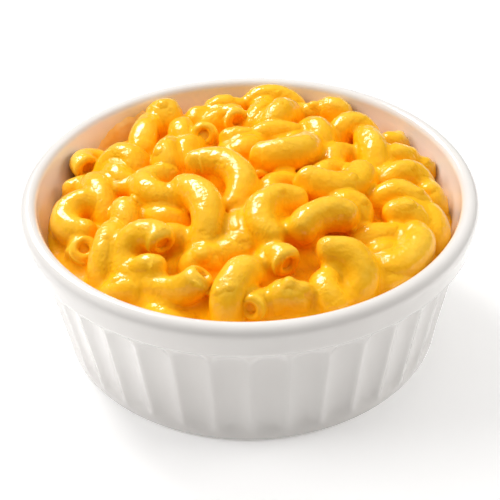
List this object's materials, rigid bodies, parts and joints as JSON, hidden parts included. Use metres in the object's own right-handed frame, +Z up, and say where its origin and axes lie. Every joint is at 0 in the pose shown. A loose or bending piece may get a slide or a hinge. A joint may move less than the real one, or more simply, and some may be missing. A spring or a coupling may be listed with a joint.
{
  "type": "macaroni and cheese in a ramekin",
  "caption": "Elbow macaroni in glossy cheese sauce, heaped in a round white ceramic ramekin with a plain band and fluted sides.",
  "frame": {"origin": "middle of the underside, on the surface that the dish stands on", "axes": "+Z up along the dish's axis; -Y towards the side that faces the viewer, where a rib stands nearly central"},
  "size_m": [0.125, 0.125, 0.0527],
  "materials": {
    "white_glaze": "smooth white gloss glaze",
    "cheese_and_pasta": "wet glossy cheese sauce over soft pasta"
  },
  "bodies": {
    "root": {"ramekin": "white_glaze", "macaroni_and_cheese": "cheese_and_pasta"}
  },
  "joints": []
}
